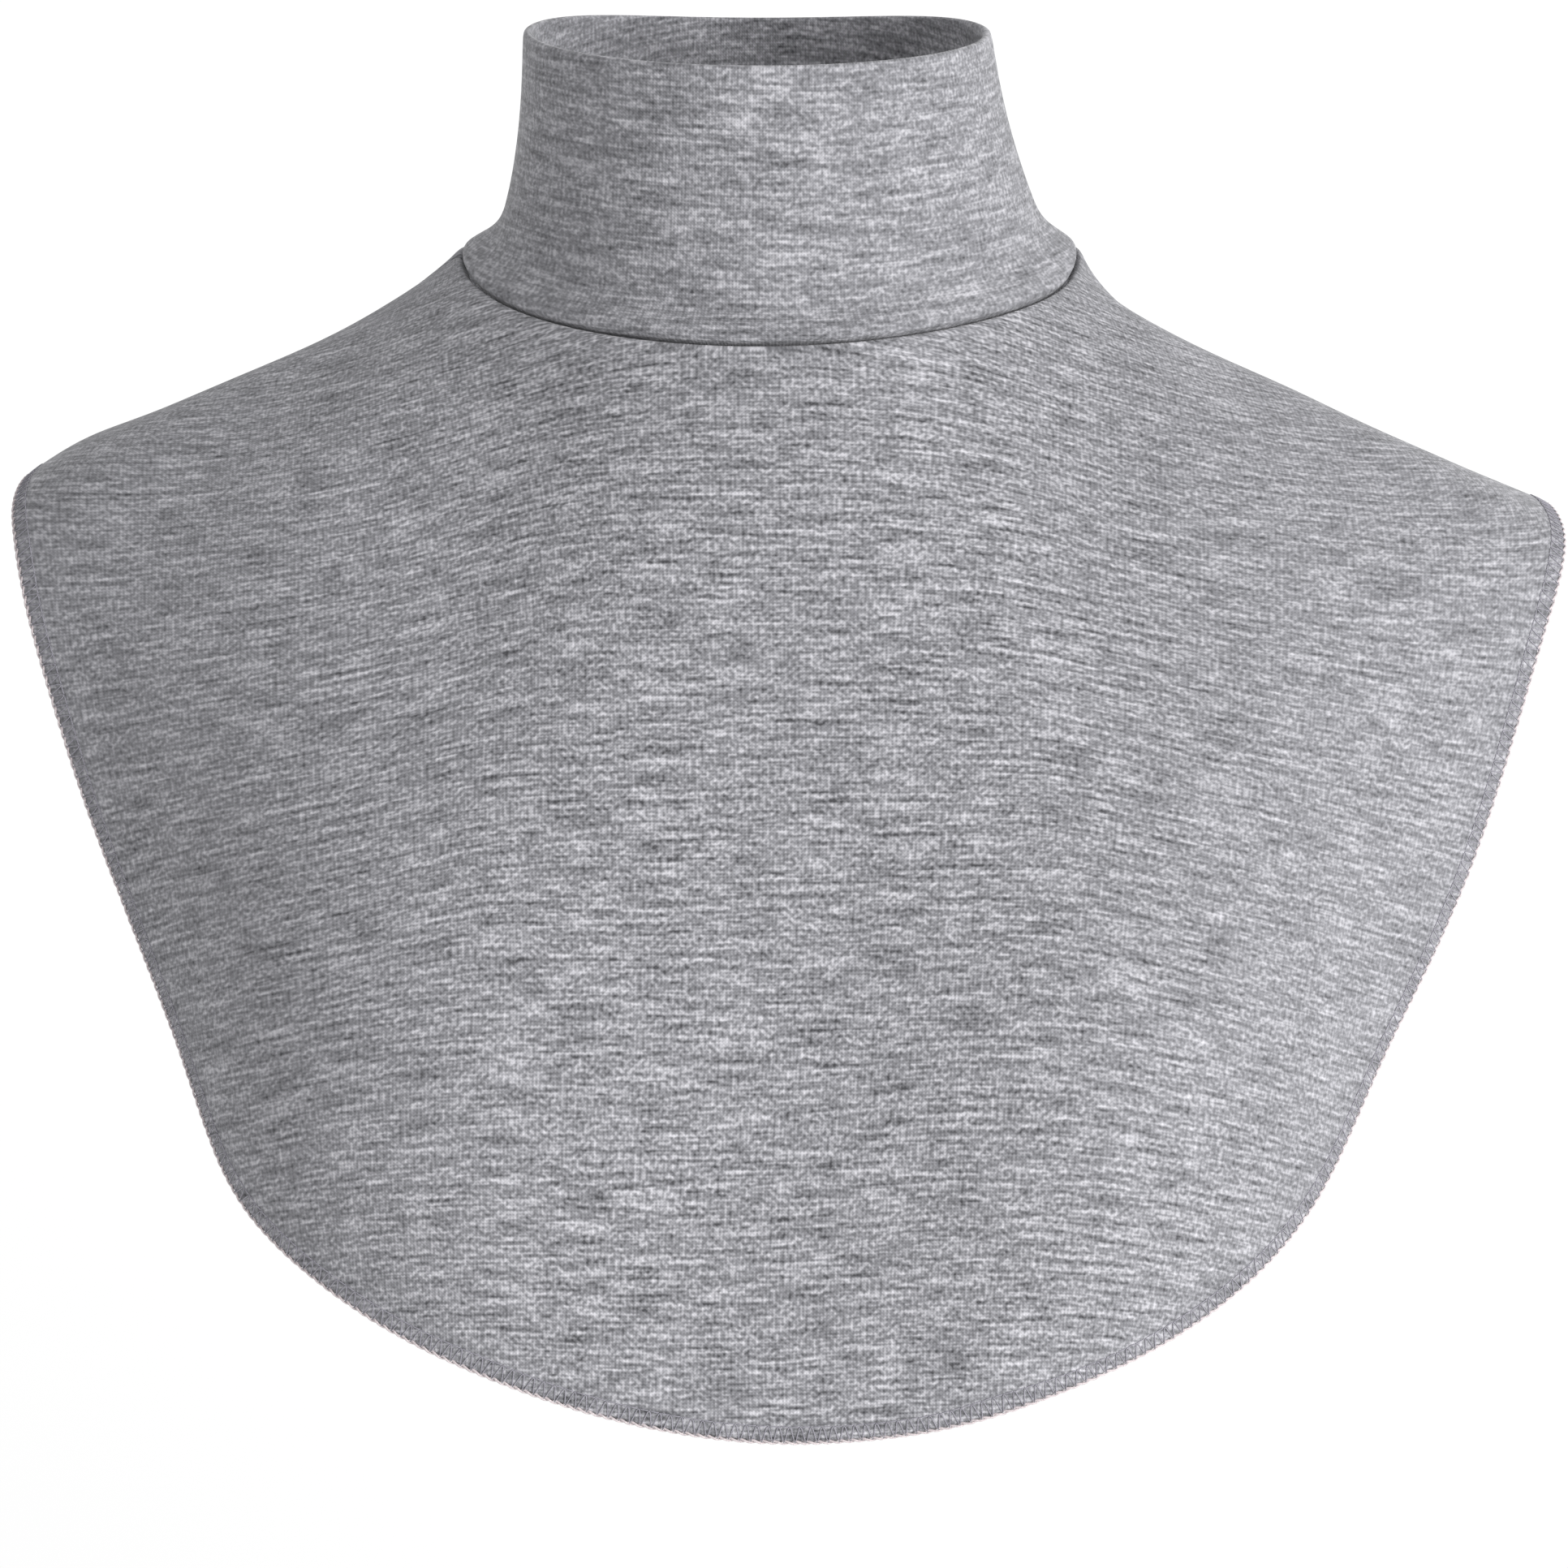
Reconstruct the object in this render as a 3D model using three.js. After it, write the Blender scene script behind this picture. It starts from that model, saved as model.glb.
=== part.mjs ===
// A turtleneck dickey in marled grey jersey, in the shape it has when it is worn. A collar folded double is
// sewn to the neckline of a bib, whose front and back panels meet in a seam along each shoulder. The bib's
// raw edge is overlocked all round. Millimetres, +Z up; the wearer faces -Y. The origin is the middle of
// the neckline, level with its two side points, where the dickey sits on the base of the neck.
import * as THREE from "three";

// Cloth, seams and thread
const clothThickness = 1.2;
const foldSlot = 0.4; // air between the two layers of the folded collar
const seamGap = 0.3; // clearance between two pieces that are sewn together
const seamAllowance = 4; // how far a sewn edge turns in behind its seam
const seamBend = 0.9; // radius, at the middle of the cloth, where a sewn edge turns in
const edgingWidth = 1.6; // overlocked thread round the raw edge, measured in the cloth's own plane
const edgingThickness = 1.9;

// Neckline, where the collar is sewn to the bib
const necklineHalfWidth = 84;
const necklineFrontReach = 72; // in front of the shoulder seams
const necklineBackReach = 62; // behind them
const necklineFrontDrop = 29; // centre front, below the side points
const necklineBackRise = 4; // centre back, above them
const necklineRoll = 1.2; // the wearer's left side point is this far above the origin, the right one below

// Top fold of the collar
const rimHalfWidth = 63.3;
const rimHalfDepth = 58;
const rimHeight = 58; // at the two sides
const rimForward = 8; // the rim's middle, in front of the shoulder seams
const rimFrontDrop = 14.5; // centre front, below the sides
const rimBackRise = 9; // centre back, above them
const rimLean = -4.2; // the rim's middle, towards the wearer's left if above 0

// Outer edge of the bib
const shoulderHalfWidth = 208.5;
const shoulderDrop = 64; // the shoulder seam's outer end, below the neckline's side points
const shoulderTilt = 2.7; // the wearer's left shoulder is this far lower, and the right one higher
const frontDrop = 314; // centre front edge, below the same points
const frontReach = 121; // centre front edge, in front of the shoulder seams
const backDrop = 275;
const backReach = 90;
const edgeSway = 3; // the whole edge hangs this far towards the wearer's left

// How far the worn cloth stands out from straight lines between the neckline and the outer edge
const chestFullness = 32;
const backFullness = 28;
const shoulderFullness = 10;
const sideways = 0.3; // how far the cloth beside the armholes faces outward to the side, as a share
const shoulderRound = 4; // the power at which it turns upward: the higher, the closer to the seams

// Pieces in each mesh
const frontColumns = 42;
const backColumns = 34;
const collarColumns = 56;
const panelRows = 13;
const gather = 0.5; // 0 spaces a panel's columns evenly; towards 1 they crowd at the round of the shoulders

const quarter = Math.PI / 2;

// The collar's flare: how far out the wall stands at a share of its height, from 0, the rim's size, to 1,
// the neckline's size. It is steep at the foot, where the cloth turns out onto the shoulders.
const collarFlare = [
  { up: 0, out: 1 },
  { up: 0.05, out: 0.8 },
  { up: 0.1, out: 0.6 },
  { up: 0.15, out: 0.48 },
  { up: 0.22, out: 0.39 },
  { up: 0.34, out: 0.3 },
  { up: 0.5, out: 0.19 },
  { up: 0.68, out: 0.11 },
  { up: 0.84, out: 0.05 },
  { up: 1, out: 0.01 },
];

// Outer edge of the front panel from a shoulder to the centre: shares of shoulderHalfWidth and frontReach,
// and of the drop from the shoulder seam's end to the centre front.
const frontEdge = [
  { across: 0.988, forward: 0, down: 0 },
  { across: 1.002, forward: 0.19, down: 0.035 },
  { across: 0.99, forward: 0.3, down: 0.088 },
  { across: 0.953, forward: 0.39, down: 0.196 },
  { across: 0.899, forward: 0.46, down: 0.333 },
  { across: 0.829, forward: 0.54, down: 0.47 },
  { across: 0.758, forward: 0.63, down: 0.605 },
  { across: 0.684, forward: 0.73, down: 0.738 },
  { across: 0.625, forward: 0.79, down: 0.804 },
  { across: 0.524, forward: 0.87, down: 0.866 },
  { across: 0.381, forward: 0.94, down: 0.928 },
  { across: 0.2, forward: 0.985, down: 0.979 },
  { across: 0, forward: 1, down: 1 },
];

// Outer edge of the back panel, the same way, with backReach and backDrop.
const backEdge = [
  { across: 0.988, forward: 0, down: 0 },
  { across: 0.995, forward: 0.24, down: 0.04 },
  { across: 0.975, forward: 0.4, down: 0.11 },
  { across: 0.92, forward: 0.52, down: 0.27 },
  { across: 0.84, forward: 0.65, down: 0.47 },
  { across: 0.74, forward: 0.77, down: 0.66 },
  { across: 0.61, forward: 0.87, down: 0.815 },
  { across: 0.43, forward: 0.95, down: 0.925 },
  { across: 0.22, forward: 0.99, down: 0.982 },
  { across: 0, forward: 1, down: 1 },
];

// Fullness of the worn cloth, down from the neckline. In front of the shoulders these are shares of
// chestFullness: over the centre front, the breast, the front of the armhole and the cap of the shoulder.
const frontFullness = [
  { down: 0, front: 0, breast: 0, armhole: 0, cap: 0 },
  { down: 0.06, front: 0.08, breast: 0.09, armhole: 0.1, cap: 0 },
  { down: 0.12, front: 0.17, breast: 0.2, armhole: 0.26, cap: 0 },
  { down: 0.3, front: 0.4, breast: 0.55, armhole: 0.68, cap: 0.17 },
  { down: 0.5, front: 0.6, breast: 0.9, armhole: 0.92, cap: 0.34 },
  { down: 0.7, front: 0.62, breast: 1, armhole: 0.82, cap: 0.38 },
  { down: 0.87, front: 0.38, breast: 0.6, armhole: 0.45, cap: 0.25 },
  { down: 1, front: 0, breast: 0, armhole: 0, cap: 0 },
];

// Shares of shoulderFullness along the two shoulder seams, which sink into the slope of the shoulders.
const seamFullness = [
  { down: 0, left: 0, right: 0 },
  { down: 0.06, left: -0.7, right: -0.3 },
  { down: 0.12, left: -0.85, right: -0.3 },
  { down: 0.3, left: -0.75, right: -0.35 },
  { down: 0.5, left: -0.55, right: -0.22 },
  { down: 0.7, left: -0.42, right: -0.05 },
  { down: 0.87, left: -0.25, right: 0.22 },
  { down: 1, left: 0, right: 0 },
];

// Shares of backFullness behind the seams: over the cap of the shoulder, the back of the armhole, the
// shoulder blade and the centre back.
const rearFullness = [
  { down: 0, cap: 0, armhole: 0, blade: 0, back: 0 },
  { down: 0.06, cap: -0.22, armhole: 0.1, blade: 0.15, back: 0.12 },
  { down: 0.12, cap: -0.24, armhole: 0.22, blade: 0.3, back: 0.25 },
  { down: 0.3, cap: -0.08, armhole: 0.66, blade: 0.75, back: 0.5 },
  { down: 0.5, cap: 0.16, armhole: 0.93, blade: 1, back: 0.65 },
  { down: 0.7, cap: 0.26, armhole: 0.8, blade: 0.85, back: 0.6 },
  { down: 0.87, cap: 0.2, armhole: 0.4, blade: 0.45, back: 0.35 },
  { down: 1, cap: 0, armhole: 0, blade: 0, back: 0 },
];

// Where the columns of those tables lie: quarters of the way round, from the centre front by a shoulder to
// the centre back.
const fullnessColumns = [
  { at: 0, rows: frontFullness, column: "front", size: chestFullness },
  { at: 0.34, rows: frontFullness, column: "breast", size: chestFullness },
  { at: 0.66, rows: frontFullness, column: "armhole", size: chestFullness },
  { at: 0.86, rows: frontFullness, column: "cap", size: chestFullness },
  { at: 1, rows: seamFullness, column: "left", size: shoulderFullness },
  { at: 1, rows: seamFullness, column: "right", size: shoulderFullness },
  { at: 1.14, rows: rearFullness, column: "cap", size: backFullness },
  { at: 1.36, rows: rearFullness, column: "armhole", size: backFullness },
  { at: 1.68, rows: rearFullness, column: "blade", size: backFullness },
  { at: 2, rows: rearFullness, column: "back", size: backFullness },
];

// Soft mounds, hollows and folds pressed into the front panel: where they lie, as shares of
// shoulderHalfWidth and frontDrop, their half width and half height as shares of the same, how far they
// lean, in degrees, and their rise as a share of chestFullness.
const frontFolds = [
  { across: 0.4, down: 0.73, wide: 0.3, tall: 0.17, lean: 0, rise: 0.2 },
  { across: -0.4, down: 0.73, wide: 0.3, tall: 0.17, lean: 0, rise: 0.2 },
  { across: 0.03, down: 0.86, wide: 0.16, tall: 0.2, lean: 0, rise: -0.12 },
  { across: 0.2, down: 0.91, wide: 0.05, tall: 0.13, lean: 28, rise: -0.1 },
  { across: 0.29, down: 0.92, wide: 0.07, tall: 0.12, lean: 28, rise: 0.07 },
  { across: -0.33, down: 0.95, wide: 0.13, tall: 0.05, lean: -20, rise: 0.07 },
];

// A smooth value between the rows of a table: a cubic whose slope at each row is that of its neighbours.
function between(rows, key, value, at) {
  let i = 0;
  while (i < rows.length - 2 && at > rows[i + 1][key]) i++;
  const slope = (k) => {
    const a = rows[Math.max(k - 1, 0)];
    const b = rows[Math.min(k + 1, rows.length - 1)];
    return (b[value] - a[value]) / (b[key] - a[key]);
  };
  const span = rows[i + 1][key] - rows[i][key];
  const s = (at - rows[i][key]) / span;
  const rise = rows[i + 1][value] - rows[i][value];
  const bendStart = slope(i) * span - rise;
  const bendEnd = rise - slope(i + 1) * span;
  return rows[i][value] + rise * s + s * (1 - s) * (bendStart * (1 - s) + bendEnd * s);
}

// The height of a ring that slants down to the front: its front half lies in one plane, and behind the
// sides it climbs on and levels out. Forward is 1 at the centre front and -1 at the centre back.
function ringHeight(forward, frontDrop, frontReach, backRise, backReach) {
  if (forward > 0) return -frontDrop * forward;
  const behind = -forward;
  const climb = (frontDrop / frontReach) * backReach;
  return climb * behind * (1 - behind) ** 2 + backRise * behind * behind * (3 - 2 * behind);
}

// The neckline at a turn, in radians from the centre front towards the wearer's left.
function neckline(turn) {
  const forward = Math.cos(turn);
  const [front, back] = [necklineFrontReach, necklineBackReach];
  return new THREE.Vector3(
    necklineHalfWidth * Math.sin(turn),
    -forward * (forward > 0 ? front : back),
    ringHeight(forward, necklineFrontDrop, front, necklineBackRise, back) + necklineRoll * Math.sin(turn),
  );
}

// The collar's outer layer at a turn and a share of its height: the middle of the cloth.
function collarWall(turn, up) {
  const foot = neckline(turn);
  const rim = new THREE.Vector3(
    rimHalfWidth * Math.sin(turn) + rimLean,
    -rimForward - rimHalfDepth * Math.cos(turn),
    rimHeight + ringHeight(Math.cos(turn), rimFrontDrop, rimHalfDepth, rimBackRise, rimHalfDepth),
  );
  const out = between(collarFlare, "up", "out", up);
  return new THREE.Vector3(
    rim.x - (1 - up) * rimLean + out * (foot.x - rim.x + rimLean),
    rim.y + out * (foot.y - rim.y),
    foot.z + up * (rim.z - foot.z),
  );
}

// Half of the bib's outer edge, from the centre front round one side to the centre back, as points.
function edgePoints(side) {
  const place = (rows, reach, drop) =>
    rows.map(
      (row) =>
        new THREE.Vector3(
          side * row.across * shoulderHalfWidth + edgeSway,
          row.forward * reach,
          -shoulderDrop - side * shoulderTilt * (1 - row.down) - row.down * (drop - shoulderDrop),
        ),
    );
  const front = place(frontEdge, -frontReach, frontDrop).reverse();
  const back = place(backEdge, backReach, backDrop).slice(1);
  return [...front, ...back];
}

// The whole outer edge as four stretches of one closed curve, each measured along its own length.
const edgeStretches = (() => {
  const left = edgePoints(1);
  const right = edgePoints(-1).reverse().slice(1, -1);
  const points = [...left, ...right];
  const curve = new THREE.CatmullRomCurve3(points, true, "centripetal");
  const whole = points.length;
  const toShoulder = frontEdge.length - 1;
  const stops = [0, toShoulder, left.length - 1, whole - toShoulder, whole];
  const steps = 160;
  return [0, 1, 2, 3].map((k) => {
    const samples = [];
    for (let i = 0; i <= steps; i++) {
      const at = (stops[k] + ((stops[k + 1] - stops[k]) * i) / steps) / whole;
      const point = curve.getPoint(at);
      const last = samples[samples.length - 1];
      samples.push({ point, along: last ? last.along + point.distanceTo(last.point) : 0 });
    }
    return samples;
  });
})();

// The bib's outer edge at a turn: evenly spaced between the centre front, the shoulders and the centre back.
function outerEdge(turn) {
  const quarters = (((turn / quarter) % 4) + 4) % 4;
  const samples = edgeStretches[Math.floor(quarters)];
  const wanted = (quarters - Math.floor(quarters)) * samples[samples.length - 1].along;
  let i = 0;
  while (i < samples.length - 2 && samples[i + 1].along < wanted) i++;
  const share = (wanted - samples[i].along) / (samples[i + 1].along - samples[i].along);
  return samples[i].point.clone().lerp(samples[i + 1].point, share);
}

// How far the cloth stands out at a turn and a share of the way down, and which way that is.
function fullnessAt(turn, down) {
  const quarters = (((turn / quarter) % 4) + 4) % 4;
  const onLeft = quarters <= 2;
  const fold = onLeft ? quarters : 4 - quarters;
  const turns = fullnessColumns
    .filter(({ column }) => column !== (onLeft ? "right" : "left"))
    .map(({ at, rows, column, size }) => ({ at, value: size * between(rows, "down", column, down) }));
  // The centre columns are met again past the centre, so that the cloth is level across it.
  const rows = [{ at: -turns[1].at, value: turns[1].value }, ...turns];
  rows.push({ at: 4 - turns[turns.length - 2].at, value: turns[turns.length - 2].value });
  return between(rows, "at", "value", fold);
}

// Which way the cloth faces: outward over the chest and back, and upward along the shoulder seams.
function outwardAt(turn) {
  const quarters = (((turn / quarter) % 4) + 4) % 4;
  const fromShoulder = Math.abs((quarters % 2) - 1);
  const lift = quarter * (1 - fromShoulder) ** shoulderRound;
  const swing = sideways * Math.sin(turn) * Math.abs(Math.sin(turn));
  const facing = Math.cos(turn) > 0 ? -1 : 1;
  return new THREE.Vector3(
    swing * Math.cos(lift),
    facing * Math.sqrt(1 - swing * swing) * Math.cos(lift),
    Math.sin(lift),
  );
}

// The rise of the front panel's mounds and folds at a point of it.
function foldsAt(point) {
  return frontFolds.reduce((rise, fold) => {
    const lean = THREE.MathUtils.degToRad(fold.lean);
    const x = (point.x - edgeSway) / shoulderHalfWidth - fold.across;
    const z = -point.z / frontDrop - fold.down;
    const ratio = frontDrop / shoulderHalfWidth;
    const across = (x * Math.cos(lean) + z * ratio * Math.sin(lean)) / fold.wide;
    const along = (z * Math.cos(lean) - (x / ratio) * Math.sin(lean)) / fold.tall;
    return rise + chestFullness * fold.rise * Math.exp(-across * across - along * along);
  }, 0);
}

// The bib at a turn and a share of the way from the neckline to the outer edge: the middle of the cloth.
function bib(turn, down) {
  const point = neckline(turn).lerp(outerEdge(turn), down);
  point.addScaledVector(outwardAt(turn), fullnessAt(turn, down));
  if (Math.cos(turn) > 0) point.y -= foldsAt(point) * Math.cos(turn) ** 0.5;
  return point;
}

// The directions at a point of the neckline: down the cloth, and out of it.
function seamDirections(turn) {
  const step = 0.01;
  const aboveSeam = 0.08; // the shares of the collar's and the bib's height that give the slope of each
  const belowSeam = 0.05;
  const along = neckline(turn + step).sub(neckline(turn - step)).normalize();
  const foot = neckline(turn);
  const fromCollar = foot.clone().sub(collarWall(turn, aboveSeam)).normalize();
  const toBib = bib(turn, belowSeam).sub(foot).normalize();
  const down = fromCollar.add(toBib);
  down.addScaledVector(along, -down.dot(along)).normalize();
  return { down, out: new THREE.Vector3().crossVectors(down, along).normalize() };
}

// A point of the section through the neck seam: that far down the cloth and that far out of it.
function seamPoint(turn, down, out) {
  const seam = seamDirections(turn);
  return neckline(turn).addScaledVector(seam.down, down).addScaledVector(seam.out, out);
}

// A sewn edge that turns in at the neck seam, from its raw edge to where it joins its wall. The side is -1
// for the collar, above the seam, and 1 for a panel, below it.
function turnedEdge(turn, side) {
  const level = seamGap / 2 + clothThickness / 2;
  const points = [seamPoint(turn, side * level, -seamAllowance)];
  for (const angle of [0, quarter / 2, quarter]) {
    const down = level + seamBend * (1 - Math.cos(angle));
    points.push(seamPoint(turn, side * down, seamBend * (Math.sin(angle) - 1)));
  }
  return points;
}

// A closed cloth wall from rows of points down its middle. The cloth is half a thickness either side, and
// where a row bends the offset is lengthened so that the wall stays as thick. The first and last points of
// an open row lie beyond the wall's ends and only say which way it runs on there.
function clothWall(rows, closed) {
  const height = rows.length;
  const beyond = closed ? 0 : 1;
  const sharpest = 0.75; // the least cosine that a miter is lengthened for
  const width = rows[0].length - 2 * beyond;
  const spare = new THREE.Vector3();
  const direction = (a, b) => spare.subVectors(b, a).clone().normalize();
  const vertices = [];
  const offset = (i, j, side) => {
    const column = j + beyond;
    const here = rows[i][column];
    const left = rows[i][closed ? (j + width - 1) % width : column - 1];
    const right = rows[i][closed ? (j + 1) % width : column + 1];
    const along = direction(left, right);
    const above = rows[Math.max(i - 1, 0)][column];
    const below = rows[Math.min(i + 1, height - 1)][column];
    const before = i > 0 ? direction(above, here) : direction(here, below);
    const after = i < height - 1 ? direction(here, below) : before;
    const normal = new THREE.Vector3().crossVectors(before.clone().add(after), along).normalize();
    const miter = Math.max(Math.cos(before.angleTo(after) / 2), sharpest);
    const point = here.clone().addScaledVector(normal, (side * clothThickness) / 2 / miter);
    // The two ends along the shoulder seams stand back from the seam line by half of the gap.
    if (!closed && j === 0) point.addScaledVector(along, seamGap / 2);
    if (!closed && j === width - 1) point.addScaledVector(along, -seamGap / 2);
    return point;
  };
  for (const side of [1, -1]) {
    for (let i = 0; i < height; i++) {
      for (let j = 0; j < width; j++) vertices.push(offset(i, j, side));
    }
  }
  const index = (side, i, j) => side * height * width + i * width + (j % width);
  const triangles = [];
  const quad = (a, b, c, d) => triangles.push(a, b, c, a, c, d);
  const columns = closed ? width : width - 1;
  for (let j = 0; j < columns; j++) {
    for (let i = 0; i < height - 1; i++) {
      quad(index(0, i, j), index(0, i + 1, j), index(0, i + 1, j + 1), index(0, i, j + 1));
      quad(index(1, i, j + 1), index(1, i + 1, j + 1), index(1, i + 1, j), index(1, i, j));
    }
    quad(index(1, 0, j), index(0, 0, j), index(0, 0, j + 1), index(1, 0, j + 1));
    const last = height - 1;
    quad(index(0, last, j), index(1, last, j), index(1, last, j + 1), index(0, last, j + 1));
  }
  if (!closed) {
    for (let i = 0; i < height - 1; i++) {
      const last = width - 1;
      quad(index(0, i, 0), index(1, i, 0), index(1, i + 1, 0), index(0, i + 1, 0));
      quad(index(1, i, last), index(0, i, last), index(0, i + 1, last), index(1, i + 1, last));
    }
  }
  return geometryOf(vertices, triangles);
}

function geometryOf(vertices, triangles) {
  const geometry = new THREE.BufferGeometry().setFromPoints(vertices);
  geometry.setIndex(triangles);
  geometry.computeVertexNormals();
  return geometry;
}

// The rows of a ring or a panel, from a function that gives the points of one column.
function rowsOf(turns, column) {
  const columns = turns.map(column);
  return columns[0].map((_, i) => columns.map((points) => points[i]));
}

// The collar: one strip folded double at the rim, its outer layer turned in at the neck seam and its inner
// layer ending just above the turned edge.
function collar() {
  const pitch = clothThickness + foldSlot;
  const turns = Array.from({ length: collarColumns }, (_, i) => (i * 4 * quarter) / collarColumns);
  const outerShares = [0.06, 0.11, 0.18, 0.28, 0.42, 0.6, 0.8, 1];
  const innerShares = [1, 0.7, 0.42, 0.24, 0.14];
  const step = 0.01;
  const outward = (turn, up) => {
    const along = collarWall(turn + step, up).sub(collarWall(turn - step, up));
    const low = collarWall(turn, Math.max(up - step, 0));
    const rise = collarWall(turn, Math.min(up + step, 1)).sub(low);
    return { out: new THREE.Vector3().crossVectors(along, rise).normalize(), rise: rise.normalize() };
  };
  const rows = rowsOf(turns, (turn) => {
    const rim = outward(turn, 1);
    const crown = collarWall(turn, 1).addScaledVector(rim.out, -pitch / 2);
    const fold = [quarter / 2, quarter, quarter * 1.5].map((angle) =>
      crown
        .clone()
        .addScaledVector(rim.out, (Math.cos(angle) * pitch) / 2)
        .addScaledVector(rim.rise, (Math.sin(angle) * pitch) / 2),
    );
    return [
      ...turnedEdge(turn, -1),
      ...outerShares.map((up) => collarWall(turn, up)),
      ...fold,
      ...innerShares.map((up) => collarWall(turn, up).addScaledVector(outward(turn, up).out, -pitch)),
    ];
  });
  return clothWall(rows.reverse(), true);
}

// The turn of each column of a panel, and of as many columns beyond each of its ends as asked.
function columnTurns(from, to, columns, beyond) {
  return Array.from({ length: columns + 1 + 2 * beyond }, (_, i) => {
    const share = (i - beyond) / columns;
    return from + (to - from) * (share - (gather * Math.sin(2 * Math.PI * share)) / (2 * Math.PI));
  });
}

// A panel of the bib between the two shoulder seams, from its turned edge at the neck to its raw edge.
function panel(from, to, columns) {
  const turns = columnTurns(from, to, columns, 1);
  const nearSeam = 0.022;
  const shares = [nearSeam];
  for (let i = 1; i <= panelRows; i++) shares.push(nearSeam + ((1 - nearSeam) * i) / panelRows);
  const rows = rowsOf(turns, (turn) => [
    ...turnedEdge(turn, 1),
    ...shares.map((down) => bib(turn, down)),
  ]);
  return clothWall(rows, false);
}

// The overlocked edging: a flat oval cord of thread that follows the raw edge of both panels.
function edging() {
  const turns = [
    ...columnTurns(-quarter, quarter, frontColumns, 0).slice(1),
    ...columnTurns(quarter, 3 * quarter, backColumns, 0).slice(1),
  ];
  const sides = 6;
  const step = 0.004;
  const vertices = [];
  for (const turn of turns) {
    const edge = bib(turn, 1);
    const along = bib(turn + step, 1).sub(bib(turn - step, 1)).normalize();
    const inward = bib(turn, 1 - step).sub(edge);
    const outward = inward.addScaledVector(along, -inward.dot(along)).normalize().negate();
    const normal = new THREE.Vector3().crossVectors(outward, along).normalize();
    const middle = edge.addScaledVector(outward, seamGap + edgingWidth / 2);
    for (let k = 0; k < sides; k++) {
      const angle = ((k + 0.5) * 4 * quarter) / sides;
      vertices.push(
        middle
          .clone()
          .addScaledVector(outward, (Math.sin(angle) * edgingWidth) / 2)
          .addScaledVector(normal, (Math.cos(angle) * edgingThickness) / 2),
      );
    }
  }
  const triangles = [];
  turns.forEach((_, j) => {
    const next = (j + 1) % turns.length;
    for (let k = 0; k < sides; k++) {
      const beside = (k + 1) % sides;
      const [a, b, c, d] = [j * sides + k, j * sides + beside, next * sides + beside, next * sides + k];
      triangles.push(a, b, c, a, c, d);
    }
  });
  return geometryOf(vertices, triangles);
}

// Colours as the dry cloth and thread show in even light
const jersey = new THREE.MeshStandardMaterial({ color: 0x9a9a9e, roughness: 0.92, metalness: 0 });
const thread = new THREE.MeshStandardMaterial({ color: 0xc4c0c2, roughness: 0.7, metalness: 0 });

function piece(name, geometry, material) {
  const mesh = new THREE.Mesh(geometry, material);
  mesh.name = name;
  return mesh;
}

const dickey = new THREE.Group();
dickey.add(
  piece("collar", collar(), jersey),
  piece("front_panel", panel(-quarter, quarter, frontColumns), jersey),
  piece("back_panel", panel(quarter, 3 * quarter, backColumns), jersey),
  piece("overlock_edging", edging(), thread),
);

export default dickey;
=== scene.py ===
# A turtleneck dickey in marled grey jersey, in its worn form. Metres, +Z up, front to -Y.
import math

import bmesh
import bpy
import numpy as np
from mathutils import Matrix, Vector
from mathutils.bvhtree import BVHTree


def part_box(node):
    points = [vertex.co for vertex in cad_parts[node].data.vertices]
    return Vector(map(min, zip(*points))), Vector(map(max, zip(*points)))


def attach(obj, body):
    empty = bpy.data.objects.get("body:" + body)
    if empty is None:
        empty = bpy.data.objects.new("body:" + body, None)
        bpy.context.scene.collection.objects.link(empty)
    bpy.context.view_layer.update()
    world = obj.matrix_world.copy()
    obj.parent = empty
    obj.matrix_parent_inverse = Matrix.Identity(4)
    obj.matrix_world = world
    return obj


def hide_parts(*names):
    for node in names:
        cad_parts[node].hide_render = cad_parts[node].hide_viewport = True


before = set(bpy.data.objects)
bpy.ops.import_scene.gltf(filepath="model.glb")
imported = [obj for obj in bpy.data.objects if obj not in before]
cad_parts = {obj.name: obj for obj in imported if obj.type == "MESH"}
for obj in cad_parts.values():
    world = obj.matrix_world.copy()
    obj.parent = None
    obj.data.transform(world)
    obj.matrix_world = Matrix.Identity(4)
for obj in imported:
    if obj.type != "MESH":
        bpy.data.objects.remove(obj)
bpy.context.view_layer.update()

# The bib
# A front and a back panel of single jersey, knitted from marled viscose yarn, cut flat and stitched to each
# other along the shoulders. Worn, the rows of the knit arch over the breast, climb to the neck and droop at
# the armholes, and the two shoulder seams lie in a slight groove.

MM = 0.001
DOUBLES = 0.01 * MM  # points closer than this are one
FACE_BEND = math.radians(80)  # the most that two triangles of one face bend from each other
FACE_SKEW = math.radians(180)

SEAM_REACH = 3.5 * MM
SEAM_GROOVE = 0.5 * MM
SEAM_OVERLAP = 0.1 * MM
# How far each panel is drawn to the shoulder seam to close it, in millimetres, from the neck to the tip
SEAM_DRAW = [
    {"across": 90, "draw": 0.32},
    {"across": 190, "draw": 0.62},
    {"across": 200, "draw": 0.85},
    {"across": 212, "draw": 1.8},
]
NECK_GROOVE = 0.4 * MM
NECK_GROOVE_REACH = 3 * MM

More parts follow.
